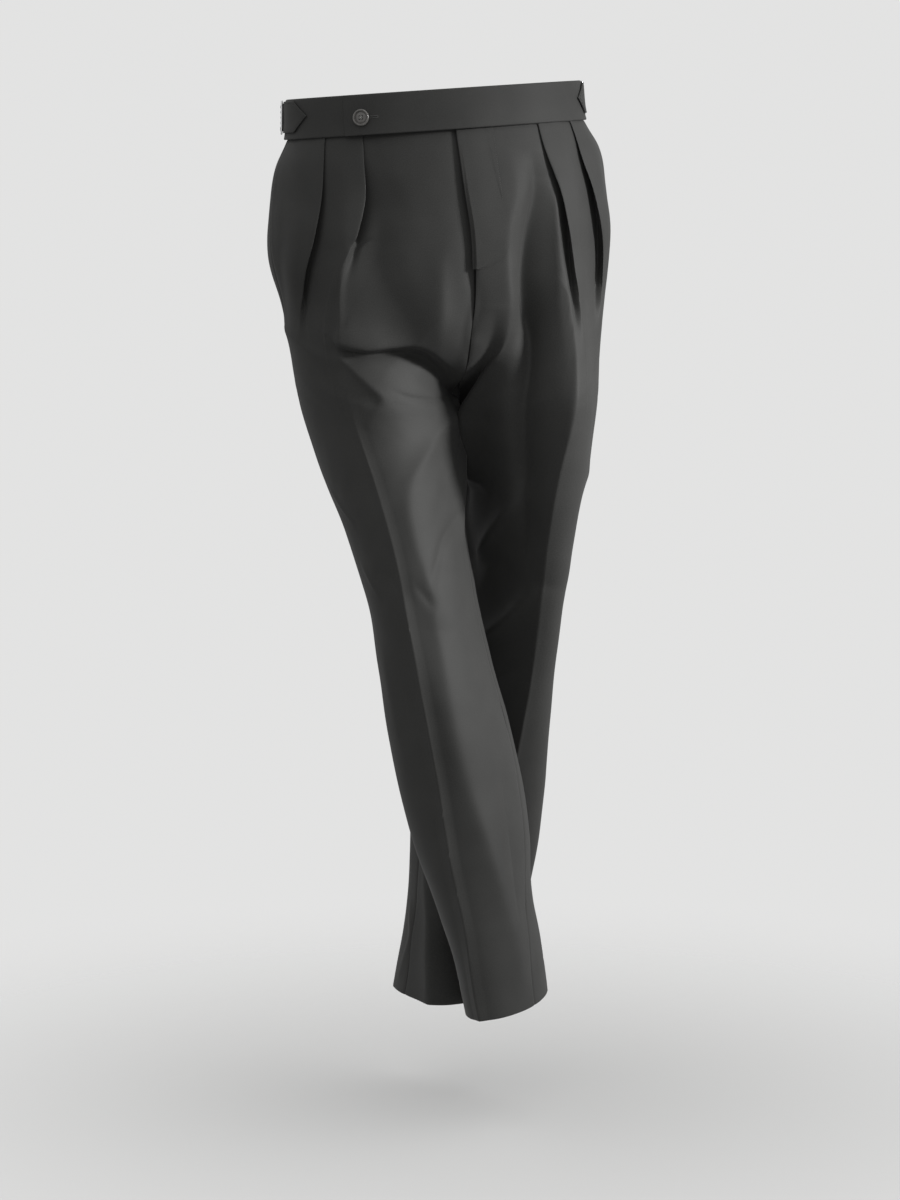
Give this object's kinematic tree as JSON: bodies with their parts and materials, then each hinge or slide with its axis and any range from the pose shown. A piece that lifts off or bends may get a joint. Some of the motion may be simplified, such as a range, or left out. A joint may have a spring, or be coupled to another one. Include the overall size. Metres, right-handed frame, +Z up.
{
  "type": "pleated dress trousers",
  "caption": "High-waisted wool trousers with forward-facing pleats, pressed creases and side adjusters, worn open and hollow with the legs crossed.",
  "frame": {"origin": "centre of the waist opening at the middle of the waistband's height, where the wearer holds the trousers up", "axes": "+Z up along the wearer, -Y the way the wearer faces the viewer, +X towards the wearer's left"},
  "size_m": [0.38, 0.336, 1.0498],
  "materials": {
    "wool": "fine charcoal worsted wool with a slight sheen",
    "horn": "polished dark horn",
    "steel": "polished nickel-coloured steel"
  },
  "bodies": {
    "root": {"front_right": "wool", "front_left": "wool", "back_right": "wool", "back_left": "wool", "pocket_facing_right": "wool", "pocket_facing_left": "wool", "waistband_right": "wool", "waistband_left": "wool", "fly_placket": "wool", "adjuster_tab_right": "wool", "adjuster_tab_left": "wool", "adjuster_strap_right": "wool", "adjuster_strap_left": "wool", "adjuster_buckle_right": "steel", "adjuster_buckle_left": "steel", "waist_button": "horn"}
  },
  "joints": []
}
